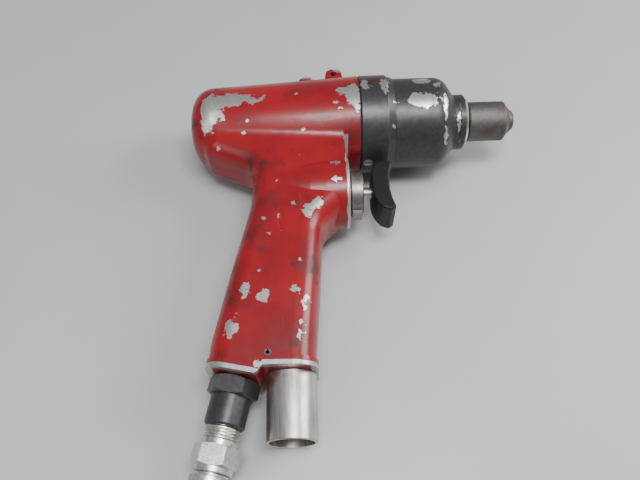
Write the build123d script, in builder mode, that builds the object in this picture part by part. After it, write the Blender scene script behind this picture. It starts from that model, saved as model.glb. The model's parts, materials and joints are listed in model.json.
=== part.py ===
"""Pistol-grip air impact wrench with a quick-change hexagon chuck, lying on its left side.

Every piece is drawn in the tool's own frame, in millimetres: X along the spindle towards the
nose with X = 0 at the joint between housing and hammer case, Y towards the top of the tool,
so that the handle runs to -Y, and Z across it. The last step lays the tool down as it rests:
on the hammer case, on the rear of the barrel and on the lip round the foot of the handle.
"""

import os
from math import asin, atan2, cos, radians, sin, sqrt

from build123d import *

os.makedirs("parts", exist_ok=True)

# Driving dimensions -----------------------------------------------------------------------
REAR_X = -88.0
REAR_CORNER_R = 12.0
BARREL_REAR_R = 21.9
BARREL_FRONT_R = 25.9
MOTOR_BORE_R = 19.1
MOTOR_BORE_END_X = -80.0

TRIGGER_Y = -45.0
BOSS_R = 18.0
BOSS_FACE_X = -7.0
VALVE_BORE_R = 8.0
VALVE_BORE_END_X = -50.0
HANDLE_HALF = 15.8
LIP_HALF = 16.6
FOOT_Y = -137.0
HEEL = (-49.2, -140.4)
LIP_REST = (-61.7, -137.8)

INLET_TILT = 12.0
INLET_X, INLET_Y = -59.3, -138.3
EXHAUST_X = -35.8
EXHAUST_R = 10.5

SPIGOT_R = 22.4
CASE_BORE_R = 20.6
BAND_R = 26.0
BAND_REAR_X = 0.6
BELL_R = 23.9
NOSE_R = 14.7
NOSE_X = 57.6

LINER_BORE_R = 15.6
LINER_OFFSET = 1.4
ROTOR_R = 14.0
BLADE_COUNT = 6
HAMMER_R = 18.0
PIN_CIRCLE_R = 13.6
PIN_R = 2.2
ANVIL_R = 7.95
HEX_FLATS = 6.4
SLEEVE_R = 10.5
FIT = 0.05

# Lines that the turned pieces lie on: each plane's x runs along its line, out of the tool.
INLET_DIR = (-sin(radians(INLET_TILT)), -cos(radians(INLET_TILT)), 0)
SPINDLE = Plane.XY
TRIGGER = Plane((0, TRIGGER_Y, 0), x_dir=(1, 0, 0), z_dir=(0, 0, 1))
INLET = Plane((INLET_X, INLET_Y, 0), x_dir=INLET_DIR, z_dir=(0, 0, 1))
EXHAUST = Plane((EXHAUST_X, FOOT_Y, 0), x_dir=(0, -1, 0), z_dir=(0, 0, 1))


def square_to(line, distance):
    """The plane across a line, at a distance along it."""
    return Plane(line.origin + line.x_dir * distance, x_dir=line.y_dir, z_dir=line.x_dir)


def turned(line, *profile):
    """A solid of revolution about a line, from (distance along it, radius) points."""
    with BuildPart() as body:
        with BuildSketch(line):
            with BuildLine():
                Polyline(*profile, close=True)
            make_face()
        revolve(axis=Axis(line.origin, line.x_dir))
    return body.part


def bar(line, start, end, outer, inner=0.0):
    """A plain length of round bar or tube on a line."""
    return turned(line, (start, inner), (start, outer), (end, outer), (end, inner))


def hexagon(line, start, end, flats, chamfer_depth=0.0):
    """A hexagonal length on a line, with its corners turned down at both ends."""
    corner = flats / cos(radians(30)) / 2
    low = corner - chamfer_depth * sqrt(3)
    with BuildPart() as body:
        with BuildSketch(square_to(line, start)):
            RegularPolygon(flats / 2, 6, major_radius=False)
        extrude(amount=end - start)
        add(
            turned(
                line,
                (start, 0),
                (start, low),
                (start + chamfer_depth + 0.001, corner + 0.01),
                (end - chamfer_depth - 0.001, corner + 0.01),
                (end, low),
                (end, 0),
            ),
            mode=Mode.INTERSECT,
        )
    return body.part


def coil(line, start, end, turns, mean_r, wire_r):
    """A round-wire compression spring between two faces."""
    travel = end - start - 2 * wire_r - 0.04
    with BuildPart() as body:
        with BuildLine() as path:
            Helix(pitch=travel / turns, height=travel, radius=mean_r)
        with BuildSketch(Plane(path.line @ 0, z_dir=path.line % 0)):
            Circle(wire_r)
        sweep(path=path.line, is_frenet=True)
    return square_to(line, start + wire_r + 0.02).location * body.part


def upright_at(part, x, y):
    """The edge across the tool nearest to a point of its side view."""
    across = part.edges().filter_by(Axis.Z)
    return across.sort_by_distance((x, y, 0))[0]


# Motor housing ----------------------------------------------------------------------------
with BuildPart() as motor_housing:
    with BuildSketch(Plane.XY.offset(-HANDLE_HALF)):
        with BuildLine():
            Polyline(
                (-30.0, 0.0),
                (-76.0, -4.0),
                (-80.0, -18.0),
                (-80.0, -23.4),
                (-54.2, -35.0),
                (-55.2, -58.0),
                (-62.4, -90.0),
                (-69.3, -124.0),
                (-70.2, -133.0),
                (-48.4, -137.0),
                (-25.4, -134.0),
                (-25.0, -126.0),
                (-22.2, -90.0),
                (-21.0, -69.0),
                (BOSS_FACE_X, -56.0),
                (-9.6, 0.0),
                close=True,
            )
        make_face()
    extrude(amount=2 * HANDLE_HALF)
    for x, y, radius in ((-80, -23.4, 4), (-54.2, -35, 9), (-55.2, -58, 40), (-21, -69, 12)):
        fillet(upright_at(motor_housing.part, x, y), radius=radius)
    long_edges = motor_housing.edges().filter_by(
        lambda e: abs(abs(e.center().Z) - HANDLE_HALF) < 0.01
        and e.center().Y < -23.5
        and e.center().Y > -133
        and not (e.center().X > -30 and e.center().Y > -60)
    )
    fillet(long_edges, radius=9.5)

    # barrel, with the trigger boss swelling out under its front
    with BuildPart(mode=Mode.PRIVATE) as barrel:
        with BuildSketch(SPINDLE):
            with BuildLine():
                Polyline(
                    (-76.0, BARREL_REAR_R),
                    (0, BARREL_FRONT_R),
                    (0, 0),
                    (REAR_X, 0),
                    (REAR_X, BARREL_REAR_R - REAR_CORNER_R),
                )
                TangentArc(
                    (REAR_X, BARREL_REAR_R - REAR_CORNER_R),
                    (REAR_X + REAR_CORNER_R, BARREL_REAR_R),
                    tangent=(0, 1),
                )
            make_face()
        revolve(axis=Axis.X)
    add(barrel.part)
    junction = motor_housing.edges().filter_by(
        lambda e: e.length > 55 and -50 < e.center().X < -35 and e.center().Y > -20
    )
    fillet(junction, radius=9.0)
    add(
        turned(
            TRIGGER,
            (-46.0, 0),
            (-46.0, HANDLE_HALF - 0.6),
            (-26.0, BOSS_R - 0.5),
            (-18.0, BOSS_R),
            (BOSS_FACE_X, BOSS_R),
            (BOSS_FACE_X, 0),
        )
    )
    boss_rim = motor_housing.edges().filter_by(
        lambda e: abs(e.center().X - BOSS_FACE_X) < 0.01 and e.center().Y < -50
    )
    fillet(boss_rim.filter_by(GeomType.CIRCLE), radius=0.8)

    # lip round the foot, its rear part square to the inlet and its front part to the exhaust
    with BuildPart(mode=Mode.PRIVATE) as lip:
        with BuildSketch(Plane.XY.offset(-LIP_HALF)):
            with BuildLine():
                Polyline(
                    (-70.7, -132.1),
                    (-71.3, -135.7),
                    HEEL,
                    (-46.9, FOOT_Y),
                    (-24.5, FOOT_Y),
                    (-24.3, -133.4),
                    (-45.0, -133.2),
                    (-48.4, -136.8),
                    close=True,
                )
            make_face()
            steps = vertices().filter_by(lambda v: -50 < v.X < -44)
            fillet(steps, radius=2.0)
        extrude(amount=2 * LIP_HALF)
        for x, y in ((-71.0, -133.9), (-24.4, -135.2)):
            ends = lip.edges().filter_by(
                lambda e: abs(abs(e.center().Z) - LIP_HALF) < 0.01
                and abs(e.center().X - x) < 0.5
            )
            fillet(ends, radius=10.0)
    add(lip.part)

    # hanger lug on top of the barrel, with its cross hole
    with BuildSketch(Plane.XY.offset(-4.5)):
        with BuildLine():
            Polyline((-17.6, 22.0), (-15.8, 38.6), (-7.4, 38.6), (-5.6, 22.0), close=True)
        make_face()
        fillet(vertices().sort_by(Axis.Y)[-2:], radius=3.4)
    extrude(amount=9.0)
    with BuildSketch(Plane.XY.offset(-10.0)):
        with Locations((-11.6, 35.2)):
            Circle(1.7)
    extrude(amount=20.0, mode=Mode.SUBTRACT)
    add(bar(Plane((-27, 20, 0), x_dir=(0, 1, 0), z_dir=(0, 0, 1)), 0, 12.4, 5.3))

    # motor bore and the counterbore that takes the hammer case
    add(bar(SPINDLE, MOTOR_BORE_END_X, 0.1, MOTOR_BORE_R), mode=Mode.SUBTRACT)
    add(bar(SPINDLE, -6.5, 0.1, SPIGOT_R + FIT), mode=Mode.SUBTRACT)

    # oil plug hole, valve bore, detent hole, air galleries and the threaded foot sockets
    add(bar(Plane((-27, 19, 0), x_dir=(0, 1, 0), z_dir=(0, 0, 1)), -2, 15, 2.6),
        mode=Mode.SUBTRACT)
    add(bar(TRIGGER, VALVE_BORE_END_X, BOSS_FACE_X + 1, VALVE_BORE_R), mode=Mode.SUBTRACT)
    detent_line = Plane((0, TRIGGER_Y + 9.9, 0), x_dir=(1, 0, 0), z_dir=(0, 0, 1))
    add(bar(detent_line, -15.0, BOSS_FACE_X + 1, 1.3), mode=Mode.SUBTRACT)
    add(bar(INLET, -17.0, 5.0, 7.0), mode=Mode.SUBTRACT)
    add(bar(INLET, -87.0, -10.0, 4.0), mode=Mode.SUBTRACT)
    add(bar(EXHAUST, -9.0, 1.0, 8.55), mode=Mode.SUBTRACT)
    add(bar(EXHAUST, -38.0, -8.0, 7.0), mode=Mode.SUBTRACT)
    gallery = Plane((-29.0, FOOT_Y, 0), x_dir=(0, -1, 0), z_dir=(0, 0, 1))
    add(bar(gallery, -119.0, -36.0, 3.6), mode=Mode.SUBTRACT)
    feed = Plane((-18.0, TRIGGER_Y, 0), x_dir=(0, -1, 0), z_dir=(0, 0, 1))
    add(bar(feed, -27.0, 0.0, 2.8), mode=Mode.SUBTRACT)
    pin_line = Plane((-44.6, -132.0, 0), x_dir=(0, 0, 1), z_dir=(1, 0, 0))
    add(bar(pin_line, 8.8, 20.0, 1.5), mode=Mode.SUBTRACT)

with BuildPart() as top_plug:
    plug_line = Plane((-27, 20, 0), x_dir=(0, 1, 0), z_dir=(0, 0, 1))
    add(bar(plug_line, 4.5, 12.4, 2.55))
    add(bar(plug_line, 12.42, 13.7, 3.3))
    add(bar(plug_line, 12.3, 12.5, 2.5))
    with BuildSketch(square_to(plug_line, 13.1)):
        Rectangle(8.0, 0.9)
    extrude(amount=2.0, mode=Mode.SUBTRACT)

with BuildPart() as roll_pin:
    add(bar(pin_line, 9.0, 16.4, 1.48, 0.8))
    with BuildSketch(Plane.XY.offset(8.0)):
        with Locations((-44.6, -130.8)):
            Rectangle(0.5, 1.6)
    extrude(amount=10.0, mode=Mode.SUBTRACT)

# worn arrows that show which way the reverse ring turns the spindle
with BuildPart() as direction_marks:
    for y, way in ((-38.0, 1), (-48.6, -1)):
        with BuildSketch(Plane.XY.offset(10.0)):
            with BuildLine():
                Polyline(
                    (-13.5 - 2.7 * way, y - 0.7),
                    (-13.5 - 2.7 * way, y + 0.7),
                    (-13.5 - 0.1 * way, y + 0.7),
                    (-13.5 - 0.1 * way, y + 1.9),
                    (-13.5 + 2.7 * way, y),
                    (-13.5 - 0.1 * way, y - 1.9),
                    (-13.5 - 0.1 * way, y - 0.7),
                    close=True,
                )
            make_face()
        extrude(amount=12.0)
    add(bar(TRIGGER, -30.0, -5.0, BOSS_R + 0.4, BOSS_R), mode=Mode.INTERSECT)

# Hammer case ------------------------------------------------------------------------------
screw_lines = [Plane((4.2, 0, 0), x_dir=(0, s, 0), z_dir=(0, 0, 1)) for s in (1, -1)]

with BuildPart() as case_gasket:
    add(bar(SPINDLE, 0.02, 0.58, 25.2, SPIGOT_R + FIT))

with BuildPart() as front_case:
    with BuildSketch(SPINDLE):
        with BuildLine():
            Polyline(
                (40.0, BELL_R),
                (BAND_REAR_X, BELL_R),
                (BAND_REAR_X, SPIGOT_R),
                (-6.0, SPIGOT_R),
                (-6.0, CASE_BORE_R),
                (42.0, CASE_BORE_R),
                (47.0, 12.2),
                (47.0, 10.5),
                (57.2, 10.5),
                (57.2, 12.0),
                (53.0, 12.0),
                (53.0, NOSE_R),
                (50.9, NOSE_R),
                (46.2, 21.0),
            )
            TangentArc((40.0, BELL_R), (46.2, 21.0), tangent=(1, 0))
        make_face()
    revolve(axis=Axis.X)
    for line in screw_lines:
        add(bar(line, 19.0, 30.0, 2.05), mode=Mode.SUBTRACT)

with BuildPart() as case_band:
    inner = BELL_R + 0.02
    add(
        turned(
            SPINDLE,
            (BAND_REAR_X, inner),
            (BAND_REAR_X, BAND_R - 0.5),
            (BAND_REAR_X + 0.5, BAND_R),
            (14.2, BAND_R),
            (14.9, BAND_R - 0.4),
            (17.9, inner + 0.5),
            (18.2, inner),
        )
    )
    for line in screw_lines:
        add(bar(line, 19.0, 30.0, 2.6), mode=Mode.SUBTRACT)

with BuildPart() as case_screws:
    for line in screw_lines:
        add(bar(line, 20.9, BELL_R, 2.0))
        add(bar(line, BELL_R, 25.9, 2.5))
        with BuildSketch(square_to(line, 24.9)):
            Rectangle(8.0, 0.8)
        extrude(amount=3.0, mode=Mode.SUBTRACT)

with BuildPart() as nose_ring:
    add(
        turned(
            SPINDLE,
            (53.04, 12.02),
            (53.04, NOSE_R - 0.5),
            (53.5, NOSE_R),
            (56.2, NOSE_R),
            (NOSE_X, NOSE_R - 1.4),
            (NOSE_X, 12.02),
        )
    )

with BuildPart() as anvil_bushing:
    add(bar(SPINDLE, 47.2, 54.8, 10.48, ANVIL_R + FIT))

with BuildPart() as nose_seal:
    add(
        turned(
            SPINDLE,
            (54.9, ANVIL_R + FIT),
            (54.9, 10.48),
            (57.2, 10.48),
            (57.2, 8.9),
            (56.2, ANVIL_R + FIT),
        )
    )

# Air motor --------------------------------------------------------------------------------
dowel = Plane((0, -16.9, 0), x_dir=(1, 0, 0), z_dir=(0, 0, 1))
chamber = Plane((0, LINER_OFFSET, 0), x_dir=(1, 0, 0), z_dir=(0, 0, 1))
PLATE_R = MOTOR_BORE_R - 0.02

with BuildPart() as rear_end_plate:
    add(bar(SPINDLE, -79.9, -74.9, PLATE_R, 9.5))
    add(bar(SPINDLE, -75.0, -73.9, PLATE_R, 6.0))
    add(bar(dowel, -78.0, -70.0, 1.25), mode=Mode.SUBTRACT)

with BuildPart() as rear_bearing:
    add(bar(SPINDLE, -79.9, -75.02, 9.48, 7.4))
    add(bar(SPINDLE, -79.6, -75.3, 7.38, 5.02))
    add(bar(SPINDLE, -79.9, -75.02, 5.0, 3.0 + FIT))

with BuildPart() as motor_cylinder:
    add(bar(SPINDLE, -73.88, -28.1, PLATE_R))
    add(bar(chamber, -75.0, -27.0, LINER_BORE_R), mode=Mode.SUBTRACT)
    add(bar(dowel, -75.0, -27.0, 1.25), mode=Mode.SUBTRACT)
    for x in (-66.0, -60.0, -54.0, -48.0, -42.0):
        port = Plane((x, 0, 0), x_dir=(0, -0.5, 0.866), z_dir=(1, 0, 0))
        add(bar(port, 10.0, 22.0, 1.6), mode=Mode.SUBTRACT)

with BuildPart() as front_end_plate:
    add(bar(SPINDLE, -28.08, -27.0, PLATE_R, 7.0))
    add(bar(SPINDLE, -27.1, -21.9, PLATE_R, 11.0))
    add(bar(dowel, -30.0, -24.0, 1.25), mode=Mode.SUBTRACT)

with BuildPart() as front_bearing:
    add(bar(SPINDLE, -26.98, -21.9, 10.98, 8.9))
    add(bar(SPINDLE, -26.7, -22.2, 8.88, 7.02))
    add(bar(SPINDLE, -26.98, -21.9, 7.0, 5.0 + FIT))

with BuildPart() as cylinder_pin:
    add(bar(dowel, -77.8, -24.4, 1.2))

slot_angles = [i * 360.0 / BLADE_COUNT for i in range(BLADE_COUNT)]

with BuildPart() as rotor:
    add(bar(SPINDLE, -73.6, -28.4, ROTOR_R))
    for angle in slot_angles:
        with BuildSketch(square_to(SPINDLE, -80.0)):
            with Locations((Vector(11.0, 0).rotate(Axis.Z, angle))):
                Rectangle(7.0, 1.7, rotation=angle)
        extrude(amount=60.0, mode=Mode.SUBTRACT)
    add(bar(SPINDLE, -79.6, -73.5, 3.0))
    add(bar(SPINDLE, -28.5, -21.0, 5.0))
    add(hexagon(SPINDLE, -21.1, -11.0, 8.0, 0.5))

with BuildPart() as rotor_blades:
    for angle in slot_angles:
        with BuildSketch(square_to(SPINDLE, -73.5)):
            with Locations((Vector(10.9, 0).rotate(Axis.Z, angle))):
                Rectangle(6.2, 1.6, rotation=angle)
        extrude(amount=45.0)

# Impact mechanism -------------------------------------------------------------------------
upper_pin = Plane((0, PIN_CIRCLE_R, 0), x_dir=(1, 0, 0), z_dir=(0, 0, 1))
lower_pin = Plane((0, -PIN_CIRCLE_R, 0), x_dir=(1, 0, 0), z_dir=(0, 0, 1))

with BuildPart() as hammer_cage:
    add(bar(SPINDLE, -15.0, -6.2, MOTOR_BORE_R - 0.4))
    add(bar(SPINDLE, -6.3, -3.8, CASE_BORE_R - 0.4))
    add(bar(SPINDLE, 36.6, 41.0, CASE_BORE_R - 0.4, 7.4))
    add(bar(SPINDLE, -4.0, 37.0, CASE_BORE_R - 0.4, 18.9))
    with Locations((16.4, 18.0, 0), (16.4, -18.0, 0)):
        Box(40.4, 20.0, 60.0, mode=Mode.SUBTRACT)
    add(hexagon(SPINDLE, -16.0, -10.6, 8.12), mode=Mode.SUBTRACT)
    add(bar(SPINDLE, -9.6, -3.0, 4.0 + FIT), mode=Mode.SUBTRACT)
    for line in (upper_pin, lower_pin):
        add(bar(line, -13.0, 40.0, PIN_R + 0.02), mode=Mode.SUBTRACT)

with BuildPart() as hammer_pins:
    for line in (upper_pin, lower_pin):
        add(bar(line, -12.8, 39.8, PIN_R))


def hammer(start, end, side):
    """One of the two rocking hammers, hung on the pin on its side (+1 above, -1 below)."""
    with BuildPart() as body:
        with BuildSketch(square_to(SPINDLE, start)):
            Circle(HAMMER_R + 0.3)
            Circle(10.6, mode=Mode.SUBTRACT)
        extrude(amount=end - start)
        with BuildPart(mode=Mode.PRIVATE) as dog:
            add(bar(SPINDLE, start, end, 10.7, 8.9))
            with Locations(((start + end) / 2, -side * 10.0, 0)):
                Box(end - start, 6.4, 5.6, mode=Mode.INTERSECT)
        add(dog.part)
        with Locations(((start + end) / 2, side * PIN_CIRCLE_R, 0)):
            Cylinder(PIN_R + FIT, 60.0, rotation=(0, 90, 0), mode=Mode.SUBTRACT)
        with Locations(((start + end) / 2, -side * PIN_CIRCLE_R, 0)):
            Box(60.0, 2 * PIN_R + 0.3, 2 * PIN_R + 2.6, mode=Mode.SUBTRACT)
    return body


hammer_rear = hammer(-3.5, 15.3, 1)
hammer_front = hammer(15.7, 36.2, -1)

with BuildPart() as anvil:
    for start, end, side in ((-3.0, 14.9, -1), (16.1, 35.8, 1)):
        with BuildPart(mode=Mode.PRIVATE) as jaw:
            add(bar(SPINDLE, start, end, 8.2, 6.0))
            with Locations(((start + end) / 2, 0, side * 8.0)):
                Box(end - start, 9.0, 8.0, mode=Mode.INTERSECT)
        add(jaw.part)
    add(
        turned(
            SPINDLE,
            (-9.4, 0),
            (-9.4, 4.0),
            (-3.5, 4.0),
            (-3.5, 6.6),
            (43.2, 6.6),
            (43.2, 9.6),
            (45.4, 9.6),
            (45.4, ANVIL_R),
            (57.9, ANVIL_R),
            (58.4, 7.0),
            (78.0, 7.0),
            (78.0, 5.5),
            (81.44, 5.5),
            (81.44, 5.0),
            (82.2, 5.0),
            (82.2, 5.6),
            (82.9, 5.6),
            (84.0, 4.7),
            (84.0, 0),
        )
    )
    add(hexagon(SPINDLE, 60.0, 86.0, HEX_FLATS), mode=Mode.SUBTRACT)
    add(turned(SPINDLE, (82.9, 0), (82.9, 3.1), (84.1, 4.3), (84.1, 0)), mode=Mode.SUBTRACT)
    with Locations((63.4, 0, 0)):
        Cylinder(2.03, 20.0, rotation=(90, 0, 0), mode=Mode.SUBTRACT)

with BuildPart() as chuck_balls:
    with Locations((63.4, 4.98, 0), (63.4, -4.98, 0)):
        Sphere(2.0)

with BuildPart() as chuck_sleeve:
    add(
        turned(
            SPINDLE,
            (59.0, 8.3),
            (59.0, SLEEVE_R - 0.7),
            (59.7, SLEEVE_R),
            (78.4, SLEEVE_R),
            (79.5, 9.05),
            (66.8, 9.05),
            (66.8, 7.1),
            (62.2, 7.1),
            (61.2, 8.3),
        )
    )

with BuildPart() as chuck_spring:
    add(coil(SPINDLE, 66.84, 78.0, 5, 8.05, 0.45))

with BuildPart() as chuck_cap:
    add(
        turned(
            SPINDLE,
            (78.03, 5.52),
            (78.03, 8.98),
            (79.55, 8.98),
            (80.9, 7.3),
            (81.42, 7.0),
            (81.42, 5.52),
        )
    )

with BuildPart() as chuck_retaining_ring:
    add(bar(SPINDLE, 81.46, 82.18, 6.2, 5.03))
    with Locations((81.8, 6.0, 0)):
        Box(2.0, 3.0, 1.6, mode=Mode.SUBTRACT)

# Trigger, throttle and reverse valve ------------------------------------------------------
with BuildPart() as reverse_ring:
    add(
        turned(
            TRIGGER,
            (-6.15, 6.2),
            (-6.15, 11.4),
            (-5.75, 11.8),
            (-0.8, 11.8),
            (-0.2, 11.2),
            (-0.2, 6.2),
        )
    )
    with Locations((-3.2, TRIGGER_Y - 12.6, 0)):
        Box(4.4, 3.6, 4.6)
    with Locations((-7.0, TRIGGER_Y, 0)):
        Torus(9.9, 1.5, rotation=(0, 90, 0), mode=Mode.SUBTRACT)

with BuildPart() as reverse_valve:
    add(bar(TRIGGER, -35.3, -6.17, VALVE_BORE_R - FIT, 5.8))
    for x in (-29.0, -18.0):
        with Locations((x, TRIGGER_Y, 0)):
            Cylinder(2.8, 20.0, rotation=(90, 0, 0), mode=Mode.SUBTRACT)

with BuildPart() as detent_ball:
    with Locations((-7.05, TRIGGER_Y + 9.9, 0)):
        Sphere(1.25)

with BuildPart() as detent_spring:
    add(coil(detent_line, -14.96, -8.32, 6, 0.85, 0.2))

with BuildPart() as trigger_bushing:
    add(bar(TRIGGER, -14.0, -1.0, 5.75, 2.75 + FIT))

with BuildPart() as trigger_rod:
    add(bar(TRIGGER, -38.0, 6.9, 2.75))

with BuildPart() as trigger_pad:
    with BuildSketch(Plane.XY.offset(-9.4)):
        with BuildLine():
            ThreePointArc((15.4, -32.6), (12.8, -46.0), (15.2, -59.4))
            Polyline((15.2, -59.4), (12.4, -61.2), (8.8, -59.6))
            ThreePointArc((8.8, -59.6), (5.3, -54.0), (4.2, -47.5))
            Polyline((4.2, -47.5), (4.2, -38.0), (6.2, -33.4), (10.6, -31.4), (15.4, -32.6))
        make_face()
    extrude(amount=18.8)
    fillet(trigger_pad.edges(), radius=1.0)
    with Locations((31.4, -46.0, 0)):
        Cylinder(19.7, 12.0, mode=Mode.SUBTRACT)
    add(bar(TRIGGER, 0.0, 6.92, 2.77), mode=Mode.SUBTRACT)

with BuildPart() as valve_seat:
    add(bar(TRIGGER, -38.0, -35.4, VALVE_BORE_R - 0.02, 4.0))

with BuildPart() as throttle_valve:
    add(bar(TRIGGER, -41.5, -38.02, 6.0))
    add(bar(TRIGGER, -43.0, -41.4, 1.6))

with BuildPart() as throttle_spring:
    add(coil(TRIGGER, -49.96, -41.52, 4, 3.2, 0.35))

# Air inlet --------------------------------------------------------------------------------
with BuildPart() as inlet_bushing:
    add(hexagon(INLET, 0.02, 7.5, 19.0, 1.0))
    add(bar(INLET, -16.0, 0.1, 6.98))
    add(turned(INLET, (7.4, 0), (7.4, 8.4), (18.8, 8.4), (19.5, 7.8), (19.5, 0)))
    add(bar(INLET, -17.0, 7.0, 5.0), mode=Mode.SUBTRACT)
    add(bar(INLET, 6.0, 20.0, 6.6), mode=Mode.SUBTRACT)

with BuildPart() as inlet_screen:
    add(bar(INLET, -9.0, 0.0, 4.95, 4.5))
    add(bar(INLET, -9.6, -8.9, 4.95))
    for angle in range(0, 360, 60):
        with BuildSketch(square_to(INLET, -12.0)):
            with Locations(Vector(2.8, 0).rotate(Axis.Z, angle)):
                Circle(0.8)
        extrude(amount=6.0, mode=Mode.SUBTRACT)

ridges = []
for i in range(4):
    ridges += [(19.9 + 1.2 * i, 6.8), (20.3 + 1.2 * i, 7.5), (20.7 + 1.2 * i, 7.5)]

with BuildPart() as inlet_adaptor:
    add(
        turned(
            INLET,
            (9.0, 3.0),
            (9.0, 6.1),
            (9.6, 6.58),
            (19.6, 6.58),
            *ridges,
            (24.8, 6.8),
            (24.8, 7.4),
            (27.0, 7.4),
            (27.0, 3.0),
        )
    )
    add(hexagon(INLET, 26.9, 34.8, 17.0, 0.8))
    add(turned(INLET, (34.7, 0), (34.7, 8.0), (36.7, 8.0), (37.1, 7.6), (37.1, 0)))
    add(bar(INLET, 20.0, 40.0, 3.0), mode=Mode.SUBTRACT)
    add(bar(INLET, 28.0, 40.0, 5.0 + FIT), mode=Mode.SUBTRACT)

with BuildPart() as swivel_plug:
    add(
        turned(
            INLET,
            (28.3, 2.6),
            (28.3, 5.0),
            (31.1, 5.0),
            (31.1, 3.6),
            (32.5, 3.6),
            (32.5, 5.0),
            (37.4, 5.0),
            (37.4, 6.8),
            (38.3, 6.8),
            (38.3, 8.0),
            (38.6, 8.25),
            (45.0, 8.25),
            (45.9, 7.2),
            (46.6, 5.9),
            (50.0, 5.9),
            (51.0, 4.1),
            (55.2, 4.1),
            (56.2, 5.9),
            (58.0, 5.9),
            (59.2, 3.95),
            (64.0, 3.95),
            (64.6, 3.4),
            (64.6, 2.6),
        )
    )

with BuildPart() as swivel_o_ring:
    with BuildSketch(INLET):
        with Locations((31.8, 4.28)):
            Circle(0.64)
    revolve(axis=Axis(INLET.origin, INLET.x_dir))

# Exhaust ----------------------------------------------------------------------------------
with BuildPart() as exhaust_tube:
    add(
        turned(
            EXHAUST,
            (-8.5, 7.3),
            (-8.5, 8.5),
            (0.02, 8.5),
            (0.02, EXHAUST_R - 0.3),
            (0.4, EXHAUST_R),
            (27.0, EXHAUST_R),
            (27.3, EXHAUST_R - 0.3),
            (27.3, 9.3),
            (1.6, 9.3),
            (1.6, 7.3),
        )
    )

with BuildPart() as exhaust_baffle:
    add(bar(EXHAUST, 2.6, 3.8, 9.28))
    for radius, count in ((3.4, 6), (6.9, 12)):
        for i in range(count):
            with BuildSketch(square_to(EXHAUST, 2.0)):
                with Locations(Vector(radius, 0).rotate(Axis.Z, 360.0 * i / count)):
                    Circle(1.1)
            extrude(amount=3.0, mode=Mode.SUBTRACT)

# Resting pose -----------------------------------------------------------------------------
# The floor touches the hammer case's band, the rear of the barrel and the heel of the foot.
pitch = atan2(BAND_R - BARREL_REAR_R, 76.0 + BAND_REAR_X + 0.5)
level = -BAND_R * cos(pitch) + (BAND_REAR_X + 0.5) * sin(pitch)
drop = (LIP_REST[0] * sin(pitch) - level) / cos(pitch)
lean = atan2(LIP_HALF, -LIP_REST[1])
roll = asin(drop / sqrt(LIP_REST[1] ** 2 + LIP_HALF**2)) - lean
floor = Plane(
    (0, 0, 0),
    x_dir=(cos(pitch), -sin(pitch) * sin(roll), -sin(pitch) * cos(roll)),
    z_dir=(sin(pitch), cos(pitch) * sin(roll), cos(pitch) * cos(roll)),
)

nodes = {
    "motor_housing": motor_housing,
    "top_plug": top_plug,
    "roll_pin": roll_pin,
    "direction_marks": direction_marks,
    "case_gasket": case_gasket,
    "front_case": front_case,
    "case_band": case_band,
    "case_screws": case_screws,
    "nose_ring": nose_ring,
    "anvil_bushing": anvil_bushing,
    "nose_seal": nose_seal,
    "rear_end_plate": rear_end_plate,
    "rear_bearing": rear_bearing,
    "motor_cylinder": motor_cylinder,
    "front_end_plate": front_end_plate,
    "front_bearing": front_bearing,
    "cylinder_pin": cylinder_pin,
    "rotor": rotor,
    "rotor_blades": rotor_blades,
    "hammer_cage": hammer_cage,
    "hammer_pins": hammer_pins,
    "hammer_rear": hammer_rear,
    "hammer_front": hammer_front,
    "anvil": anvil,
    "chuck_balls": chuck_balls,
    "chuck_sleeve": chuck_sleeve,
    "chuck_spring": chuck_spring,
    "chuck_cap": chuck_cap,
    "chuck_retaining_ring": chuck_retaining_ring,
    "reverse_ring": reverse_ring,
    "reverse_valve": reverse_valve,
    "detent_ball": detent_ball,
    "detent_spring": detent_spring,
    "trigger_bushing": trigger_bushing,
    "trigger_rod": trigger_rod,
    "trigger_pad": trigger_pad,
    "valve_seat": valve_seat,
    "throttle_valve": throttle_valve,
    "throttle_spring": throttle_spring,
    "inlet_bushing": inlet_bushing,
    "inlet_screen": inlet_screen,
    "inlet_adaptor": inlet_adaptor,
    "swivel_plug": swivel_plug,
    "swivel_o_ring": swivel_o_ring,
    "exhaust_tube": exhaust_tube,
    "exhaust_baffle": exhaust_baffle,
}

laid = {name: floor.to_local_coords(node.part) for name, node in nodes.items()}
boxes = [shape.bounding_box() for shape in laid.values()]
low = [min(tuple(box.min)[i] for box in boxes) for i in range(3)]
high = [max(tuple(box.max)[i] for box in boxes) for i in range(3)]
centre = Location((-(low[0] + high[0]) / 2, -(low[1] + high[1]) / 2, -low[2]))
for name, shape in laid.items():
    part = shape.moved(centre)
    part.label = name
    export_step(part, f"parts/{name}.step")
print(len(laid), "pieces; shift", centre.position, "pitch", pitch, "roll", roll)
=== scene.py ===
"""Looks of the pistol-grip air impact wrench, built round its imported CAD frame.

Places on the tool are given in the tool's own axes, in millimetres: x along the spindle
towards the nose from the joint of housing and case, y towards the top of the tool, z across
it, towards the side that faces up. spot() turns them into the row's frame.
"""

import json
from math import cos, radians, sin

import bpy
from mathutils import Matrix, Vector

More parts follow.
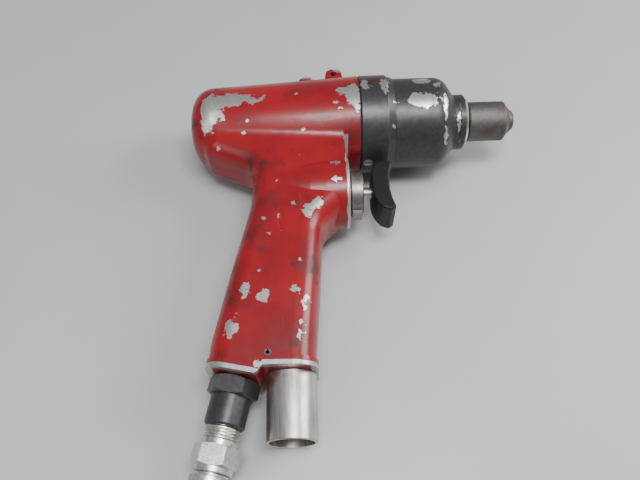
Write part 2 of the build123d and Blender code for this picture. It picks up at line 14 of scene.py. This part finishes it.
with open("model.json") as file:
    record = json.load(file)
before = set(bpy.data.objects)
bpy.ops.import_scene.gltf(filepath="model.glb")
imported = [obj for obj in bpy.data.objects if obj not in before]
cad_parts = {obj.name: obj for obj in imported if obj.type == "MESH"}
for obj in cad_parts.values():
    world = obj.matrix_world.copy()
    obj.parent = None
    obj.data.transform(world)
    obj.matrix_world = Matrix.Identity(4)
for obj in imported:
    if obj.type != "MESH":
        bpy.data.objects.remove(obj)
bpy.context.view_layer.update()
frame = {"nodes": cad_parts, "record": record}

# The tool's axes in the row's frame: it lies nose up by PITCH and handle down by ROLL.
PITCH, ROLL = 0.0531276, 0.0441115
DATUM = Vector((0.0021437, 0.0816267, 0.0259218))
ALONG = Vector((cos(PITCH), -sin(PITCH) * sin(ROLL), -sin(PITCH) * cos(ROLL)))
LEVEL = Vector((sin(PITCH), cos(PITCH) * sin(ROLL), cos(PITCH) * cos(ROLL)))
TOOL_AXES = Matrix((ALONG, LEVEL.cross(ALONG), LEVEL))
INLET_TILT = radians(12.0)

# Landmarks for the wear, in millimetres on the tool.
LIP_STEP_X = -46.7
LIP_EDGE_Y = -134.9
LIP_EDGE_ALONG_INLET = 146.0
FOOT_MIDDLE_X = -47.6
FOOT_PAINTED_HALF_LENGTH = 20.65
FOOT_PAINTED_HALF_WIDTH = 13.65
BOSS_RIM_REAR_X = -7.4
BOSS_RIM_FRONT_X = -6.45
BARREL_UNDERSIDE_Y = -20.0
NOSE_RIM_X = 56.3
NOSE_STEP_X = 53.3

# Places of the wear on the tool: x, y, z and the reach along each, in millimetres.
BARE_CASTING = [
    # rear shoulder
    (-67, 0, 22, 13, 4, 5),
    (-75, -4, 20, 6, 8, 6),
    (-54, -1, 23, 5, 2, 4),
    (-78, -12, 17, 3, 5, 5),
    # corner at the front joint
    (-3, -2, 25, 4, 7, 4),
    (-7, 1, 25, 5, 3, 3),
    (-1, -8, 24, 1.6, 5, 4),
    # round the top of the handle
    (-27, -64, 16, 2.6, 3.4, 3),
    (-23, -60, 16, 3.4, 2.0, 3),
    # down the handle
    (-55, -105, 16, 1.8, 3.6, 3),
    (-47, -107, 16, 3.0, 2.8, 3),
    (-33, -104, 16, 2.6, 1.5, 3),
    (-29, -110, 15, 1.6, 3.2, 3),
    (-60, -121, 16, 2.6, 4.6, 4),
    (-31, -124, 15, 1.6, 2.8, 3),
    # the lip's step between inlet and exhaust
    (-47.0, -136.8, 16.6, 3.0, 1.9, 3),
    # hanger lug and the oil plug's boss
    (-9.0, 38.0, 3.5, 2.2, 2.0, 3),
    (-25.5, 33.5, 3.0, 4.5, 2.5, 4),
]
PAINT_CHIPS = [
    (-31, -90, 16, 0.9, 0.8, 2),
    (-49, -95, 16, 0.8, 0.9, 2),
    (-41, -67, 16, 0.7, 1.2, 2),
    (-48, -68, 16, 1.0, 0.8, 2),
    (-45, -76, 16, 0.9, 0.7, 2),
    (-34, -60, 16, 1.2, 0.8, 2),
    (-42, -47, 16, 0.8, 0.8, 2),
    (-59, -17, 16, 1.3, 1.0, 2),
    (-72, -24, 13, 0.9, 1.2, 2),
    (-57, -12, 19, 0.9, 0.8, 2),
    (-12, -6, 24.5, 1.6, 0.6, 2),
    (-10, -9, 24, 1.2, 0.7, 2),
    (-32, 1, 24, 0.8, 0.8, 2),
    (-29, -17, 17, 1.0, 0.6, 2),
    (-31, -119, 15.5, 0.9, 1.2, 2),
]
BARE_CASE = [
    # the bell's side and shoulder
    (33, -5, 23, 8.5, 4.2, 4),
    (33, 10, 22, 4.6, 3, 4),
    (41, 5, 22, 2.4, 2.4, 3),
    (43.6, -8, 20.5, 1.1, 8, 6),
    (43.5, -19, 12, 1.0, 4, 5),
    # nose and band
    (52, -10, 11, 0.7, 5, 5),
    (3, 5, 25.6, 2.0, 4.4, 3),
    (13, 4, 25.6, 2.0, 5.6, 3),
    (18, -6, 23.6, 0.9, 1.0, 2),
    (17, -17, 17, 0.8, 1.2, 2),
]
CASE_RUST = [(7.5, 8, 25, 3.6, 3.6, 3)]


def turned(x, y, z):
    """A direction given in the tool's axes, in the row's frame."""
    return TOOL_AXES @ Vector((x, y, z))


def spot(x, y, z):
    """A place on the tool, in the row's frame and in metres."""
    return DATUM + turned(x, y, z) / 1000


# Shader building --------------------------------------------------------------------------
class Shader:
    """A principled material whose inputs come from chains of nodes on object coordinates."""

    def __init__(self, name):
        self.material = bpy.data.materials.new(name)
        self.material.use_nodes = True
        self.tree = self.material.node_tree
        self.body = self.tree.nodes["Principled BSDF"]
        self.place = self.tree.nodes.new("ShaderNodeTexCoord").outputs["Object"]

    def feed(self, socket, value):
        """Links another node's output to a socket, or sets the socket's own value."""
        if isinstance(value, bpy.types.NodeSocket):
            self.tree.links.new(value, socket)
        elif socket.type == "RGBA":
            socket.default_value = (*value[:3], 1.0)
        else:
            socket.default_value = value

    def node(self, kind, *inputs, **settings):
        """A node with its inputs fed in order."""
        made = self.tree.nodes.new("ShaderNode" + kind)
        for key, value in settings.items():
            setattr(made, key, value)
        for socket, value in zip(made.inputs, inputs):
            if value is not None:
                self.feed(socket, value)
        return made

    def math(self, operation, a, b=None, c=None):
        return self.node("Math", a, b, c, operation=operation).outputs[0]

    def cloud(self, scale, detail, rough, where=None, distortion=0.0):
        """A noise node, on object coordinates unless told where."""
        made = self.node("TexNoise", where or self.place)
        made.inputs["Scale"].default_value = scale
        made.inputs["Detail"].default_value = detail
        made.inputs["Roughness"].default_value = rough
        made.inputs["Distortion"].default_value = distortion
        return made

    def noise(self, scale, detail=4.0, rough=0.55, stretch=None, distortion=0.0):
        """A noise value around 0.5; stretch is how fast it changes along x, y and z."""
        where = None
        if stretch:
            where = self.node("VectorMath", self.place, stretch, operation="MULTIPLY").outputs[0]
        return self.cloud(scale, detail, rough, where, distortion).outputs["Fac"]

    def step(self, value, low, high, from_value=0.0, to_value=1.0):
        """A smooth step of a value between two limits."""
        made = self.node(
            "MapRange", value, low, high, from_value, to_value, interpolation_type="SMOOTHSTEP"
        )
        return made.outputs[0]

    def beyond(self, value, limit, softness):
        """1 where a value is well over a limit, 0 where it is well under."""
        return self.step(value, limit - softness, limit + softness)

    def short_of(self, value, limit, softness):
        """1 where a value is well under a limit, 0 where it is well over."""
        return self.step(value, limit + softness, limit - softness)

    def mix(self, factor, a, b):
        """A blend of two colours."""
        made = self.node("Mix", factor, data_type="RGBA")
        self.feed(made.inputs[6], a)
        self.feed(made.inputs[7], b)
        return made.outputs[2]

    def blend(self, factor, a, b):
        """A blend of two numbers."""
        made = self.node("Mix", factor, data_type="FLOAT")
        self.feed(made.inputs[2], a)
        self.feed(made.inputs[3], b)
        return made.outputs[0]

    def patches(self, places, ragged, scale, warp):
        """1 inside ragged patches round the places, each (x, y, z, rx, ry, rz) on the tool.

        The coordinates are first bent by noise, by up to about half of warp, in metres.
        """
        cloud = self.cloud(scale, 7.0, 0.68)
        bend = self.node("VectorMath", cloud.outputs["Color"], (0.5, 0.5, 0.5),
                         operation="SUBTRACT").outputs[0]
        bend = self.node("VectorMath", bend, (warp, warp, warp), operation="MULTIPLY").outputs[0]
        bent = self.node("VectorMath", self.place, bend, operation="ADD").outputs[0]
        nearest = None
        for x, y, z, rx, ry, rz in places:
            away = self.node("VectorMath", bent, tuple(spot(x, y, z)), operation="SUBTRACT")
            size = (1000 / rx, 1000 / ry, 1000 / rz)
            scaled = self.node("VectorMath", away.outputs[0], size, operation="MULTIPLY")
            length = self.node("VectorMath", scaled.outputs[0], operation="LENGTH").outputs["Value"]
            nearest = length if nearest is None else self.math("MINIMUM", nearest, length)
        shifted = self.math("MULTIPLY_ADD", cloud.outputs["Fac"], ragged, nearest)
        return self.short_of(shifted, 1.0 + 0.5 * ragged, 0.07)

    def along(self, x, y, z):
        """How far, in millimetres, a point lies along a direction of the tool from its datum."""
        off = self.node("VectorMath", self.place, tuple(DATUM), operation="SUBTRACT").outputs[0]
        way = tuple(turned(x, y, z) * 1000)
        return self.node("VectorMath", off, way, operation="DOT_PRODUCT").outputs["Value"]

    def most(self, first, *others):
        """The largest of several masks."""
        for other in others:
            first = self.math("MAXIMUM", first, other)
        return first

    def all_of(self, first, *others):
        """The product of several masks."""
        for other in others:
            first = self.math("MULTIPLY", first, other)
        return first

    def set(self, **values):
        """Sets or links inputs of the principled shader, by name with _ for a space."""
        for key, value in values.items():
            self.feed(self.body.inputs[key.replace("_", " ")], value)

    def bump(self, height, distance):
        """Adds a bump of that distance in metres."""
        made = self.node("Bump")
        made.inputs["Strength"].default_value = 1.0
        made.inputs["Distance"].default_value = distance
        self.tree.links.new(height, made.inputs["Height"])
        self.tree.links.new(made.outputs[0], self.body.inputs["Normal"])


GRIME = (0.05, 0.045, 0.04)


def metal(name, colour, rough, dirt=0.25, grain=(1, 1, 1), tint=None):
    """Bare or plated metal with brush marks, dull spots and some grime."""
    s = Shader(name)
    brushed = s.noise(900, 3, 0.6, stretch=grain)
    cloud = s.noise(90, 5, 0.6)
    dirty = s.math("MULTIPLY", s.step(cloud, 0.5, 0.72), dirt)
    dark = tuple(0.72 * c for c in colour)
    base = s.mix(s.step(brushed, 0.3, 0.7), dark, colour)
    if tint:
        stained = s.step(s.noise(60, 4, 0.6, distortion=0.6), 0.52, 0.68, 0, 0.75)
        base = s.mix(stained, base, tint)
    s.set(
        Base_Color=s.mix(dirty, base, GRIME),
        Metallic=s.blend(dirty, 1.0, 0.2),
        Roughness=s.math("ADD", s.blend(cloud, rough - 0.1, rough + 0.12),
                         s.math("MULTIPLY", brushed, 0.12)),
    )
    s.bump(brushed, 0.00002)
    return s.material


# Materials --------------------------------------------------------------------------------
def bare_lip(s, x, y, waver):
    """The outer edge of the foot's lip, square to the exhaust in front and to the inlet behind."""
    inlet = s.along(-sin(INLET_TILT), -cos(INLET_TILT), 0)
    front = s.all_of(s.beyond(x, LIP_STEP_X, 0.2),
                     s.short_of(s.math("ADD", y, waver), LIP_EDGE_Y, 0.2))
    rear = s.all_of(s.short_of(x, LIP_STEP_X, 0.2),
                    s.beyond(s.math("ADD", inlet, waver), LIP_EDGE_ALONG_INLET, 0.2))
    # under the foot the paint is left, all but round the edge
    across = s.math("ABSOLUTE", s.along(0, 0, 1))
    lengthways = s.math("ABSOLUTE", s.math("SUBTRACT", x, FOOT_MIDDLE_X))
    outer = s.most(s.beyond(s.math("ADD", across, waver), FOOT_PAINTED_HALF_WIDTH, 0.25),
                   s.beyond(s.math("ADD", lengthways, waver), FOOT_PAINTED_HALF_LENGTH, 0.25))
    return s.all_of(s.most(front, rear), outer)


def bare_boss_rim(s, x, y, waver):
    """The front rim of the trigger boss, from the barrel down."""
    wavy_x = s.math("ADD", x, s.math("MULTIPLY", waver, 3.4))
    return s.all_of(
        s.beyond(wavy_x, BOSS_RIM_REAR_X, 0.2),
        s.short_of(y, BARREL_UNDERSIDE_Y, 0.5),
        s.short_of(x, BOSS_RIM_FRONT_X, 0.15),
    )


def red_paint():
    """Worn red enamel over cast aluminium, bare along the lip, the boss's rim and in patches."""
    s = Shader("red_enamel")
    worn = s.patches(BARE_CASTING, 1.6, 230, 0.012)
    chips = s.patches(PAINT_CHIPS, 1.4, 900, 0.0036)
    stray = s.step(s.noise(460, 4, 0.6), 0.745, 0.76)
    x, y = s.along(1, 0, 0), s.along(0, 1, 0)
    waver = s.math("MULTIPLY", s.noise(160, 4), 0.6)
    lip, rim = bare_lip(s, x, y, waver), bare_boss_rim(s, x, y, waver)
    bare = s.most(worn, chips, stray, lip, rim)

    cloud = s.noise(38, 5, 0.6)
    red = s.mix(s.step(cloud, 0.35, 0.7), (0.27, 0.006, 0.010), (0.18, 0.004, 0.008))
    smudge = s.step(s.noise(75, 5, 0.65, distortion=0.8), 0.53, 0.72, 0, 0.8)
    red = s.mix(smudge, red, (0.035, 0.009, 0.010))
    scuffs = s.step(s.noise(260, 4, 0.7, stretch=(1, 0.15, 1)), 0.64, 0.74, 0, 0.22)
    red = s.mix(scuffs, red, (0.42, 0.10, 0.10))
    aluminium = s.mix(s.noise(700, 4, 0.6), (0.30, 0.30, 0.29), (0.66, 0.65, 0.63))
    s.set(
        Base_Color=s.mix(bare, red, aluminium),
        Metallic=s.math("MULTIPLY", bare, 0.85),
        Roughness=s.blend(bare, s.blend(smudge, s.blend(cloud, 0.26, 0.36), 0.55), 0.40),
        Specular_IOR_Level=0.42,
        Coat_Weight=0.1,
    )
    fine = s.math("MULTIPLY", s.noise(240, 4, 0.6), 0.35)
    s.bump(s.math("SUBTRACT", fine, bare), 0.00013)
    return s.material


def black_case():
    """Black oxide on steel, rubbed bright where the nose knocks against things."""
    s = Shader("black_oxide")
    worn = s.patches(BARE_CASE, 1.4, 300, 0.009)
    x = s.along(1, 0, 0)
    from_step = s.math("ABSOLUTE", s.math("SUBTRACT", x, NOSE_STEP_X))
    knocked = s.all_of(s.beyond(x, NOSE_RIM_X, 0.2), s.step(s.noise(220, 3), 0.36, 0.44))
    edge = s.all_of(s.short_of(from_step, 0.25, 0.1), s.step(s.noise(180, 3), 0.5, 0.6))
    bare = s.most(worn, knocked, edge)
    grain = s.noise(500, 3, 0.6)
    cloud = s.noise(80, 5, 0.6)
    black = s.mix(grain, (0.030, 0.030, 0.032), (0.080, 0.080, 0.083))
    rust = s.math("MULTIPLY", s.patches(CASE_RUST, 1.4, 300, 0.009), 0.8)
    black = s.mix(rust, black, (0.11, 0.018, 0.016))
    black = s.mix(s.step(cloud, 0.58, 0.72, 0, 0.5), black, (0.07, 0.055, 0.045))
    bright = s.mix(grain, (0.5, 0.5, 0.49), (0.85, 0.84, 0.82))
    s.set(
        Base_Color=s.mix(bare, black, bright),
        Metallic=s.blend(bare, 0.6, 1.0),
        Roughness=s.blend(bare, s.blend(cloud, 0.28, 0.5), 0.32),
    )
    s.bump(s.math("SUBTRACT", s.math("MULTIPLY", grain, 0.5), bare), 0.00007)
    return s.material


def plastic(name, colour, rough):
    """Moulded or turned non-metal with a fine grain and rubbed spots."""
    s = Shader(name)
    fine = s.noise(1400, 4, 0.6)
    rubbed = s.step(s.noise(110, 5, 0.6), 0.55, 0.75)
    lighter = tuple(1.6 * c + 0.008 for c in colour)
    s.set(Base_Color=s.mix(s.math("MULTIPLY", rubbed, 0.6), colour, lighter),
          Roughness=s.blend(rubbed, rough, rough - 0.12), Specular_IOR_Level=0.35)
    s.bump(fine, 0.00004)
    return s.material


materials = {
    "red_paint": red_paint(),
    "black_steel": black_case(),
    "dark_steel": metal("phosphated_steel", (0.17, 0.165, 0.16), 0.52, dirt=0.3,
                        tint=(0.12, 0.075, 0.06)),
    "steel": metal("ground_steel", (0.55, 0.54, 0.52), 0.34),
    "burnished_steel": metal("burnished_steel", (0.30, 0.28, 0.27), 0.34, dirt=0.5),
    "stainless": metal("brushed_stainless", (0.60, 0.57, 0.54), 0.3, grain=(1, 0.08, 1),
                       tint=(0.33, 0.23, 0.19)),
    "nickel": metal("nickel_plate", (0.78, 0.77, 0.73), 0.25, dirt=0.5),
    "aluminium": metal("worn_aluminium", (0.74, 0.73, 0.71), 0.36, dirt=0.15),
    "black_plastic": plastic("black_nylon", (0.005, 0.005, 0.006), 0.46),
    "rubber": plastic("seal_rubber", (0.012, 0.012, 0.012), 0.6),
    "gasket_paper": plastic("gasket_fibre", (0.02, 0.018, 0.016), 0.8),
    "brass": metal("sintered_bronze", (0.60, 0.42, 0.19), 0.45),
    "blade": plastic("blade_laminate", (0.22, 0.12, 0.05), 0.55),
}
for entry in frame["record"]["subparts"]:
    piece = frame["nodes"][entry["node"]]
    piece.data.materials.clear()
    piece.data.materials.append(materials[entry["material_slot"]])

# Floor, light and camera ------------------------------------------------------------------
FLOOR_REACH = 4.0
floor_mesh = bpy.data.meshes.new("studio_floor")
floor_mesh.from_pydata(
    [(FLOOR_REACH * x, FLOOR_REACH * y, 0) for x, y in ((-1, -1), (1, -1), (1, 1), (-1, 1))],
    [],
    [(0, 1, 2, 3)],
)
floor = bpy.data.objects.new("studio_floor", floor_mesh)
bpy.context.scene.collection.objects.link(floor)
paper = Shader("pale_floor")
paper.set(Base_Color=paper.mix(paper.noise(30, 3), (0.44, 0.44, 0.44), (0.47, 0.47, 0.47)),
          Roughness=0.45)
floor_mesh.materials.append(paper.material)

world = bpy.data.worlds.new("studio")
bpy.context.scene.world = world
world.use_nodes = True
background = world.node_tree.nodes["Background"]
background.inputs["Color"].default_value = (0.92, 0.95, 1.0, 1)
background.inputs["Strength"].default_value = 0.34


def softbox(name, place, power, width, height):
    """A rectangular area light aimed at the tool."""
    data = bpy.data.lights.new(name, "AREA")
    data.shape = "RECTANGLE"
    data.size, data.size_y = width, height
    data.energy = power
    lamp = bpy.data.objects.new(name, data)
    lamp.location = place
    lamp.rotation_euler = (-Vector(place)).to_track_quat("-Z", "Y").to_euler()
    bpy.context.scene.collection.objects.link(lamp)


softbox("overhead", (0.05, -0.12, 0.86), power=7.5, width=0.5, height=0.2)
softbox("window", (0.75, 0.25, 0.55), power=7.0, width=0.35, height=0.5)
softbox("fill", (-0.6, -0.5, 0.7), power=2.0, width=0.7, height=0.5)

# The camera looks at the tool from the handle's side, 60 degrees above the handle.
ELEVATION, CAMERA_ROLL = radians(60.0), radians(1.8)
CAMERA_PLACE = (-22.2, -203.9, 229.3)
SENSOR_WIDTH, FOCAL_LENGTH = 36.0, 30.94
right = Vector((1, 0, 0))
up = Vector((0, sin(ELEVATION), cos(ELEVATION)))
look = Vector((0, cos(ELEVATION), -sin(ELEVATION)))
tipped_right = right * cos(CAMERA_ROLL) - up * sin(CAMERA_ROLL)
tipped_up = up * cos(CAMERA_ROLL) + right * sin(CAMERA_ROLL)
axes = [turned(*v) for v in (tipped_right, tipped_up, -look)]
camera_data = bpy.data.cameras.new("camera")
camera_data.sensor_width = SENSOR_WIDTH
camera_data.lens = FOCAL_LENGTH
camera_data.clip_start = 0.01
camera = bpy.data.objects.new("camera", camera_data)
camera.matrix_world = (
    Matrix.Translation(spot(*CAMERA_PLACE)) @ Matrix(axes).transposed().to_4x4()
)
bpy.context.scene.collection.objects.link(camera)
bpy.context.scene.camera = camera
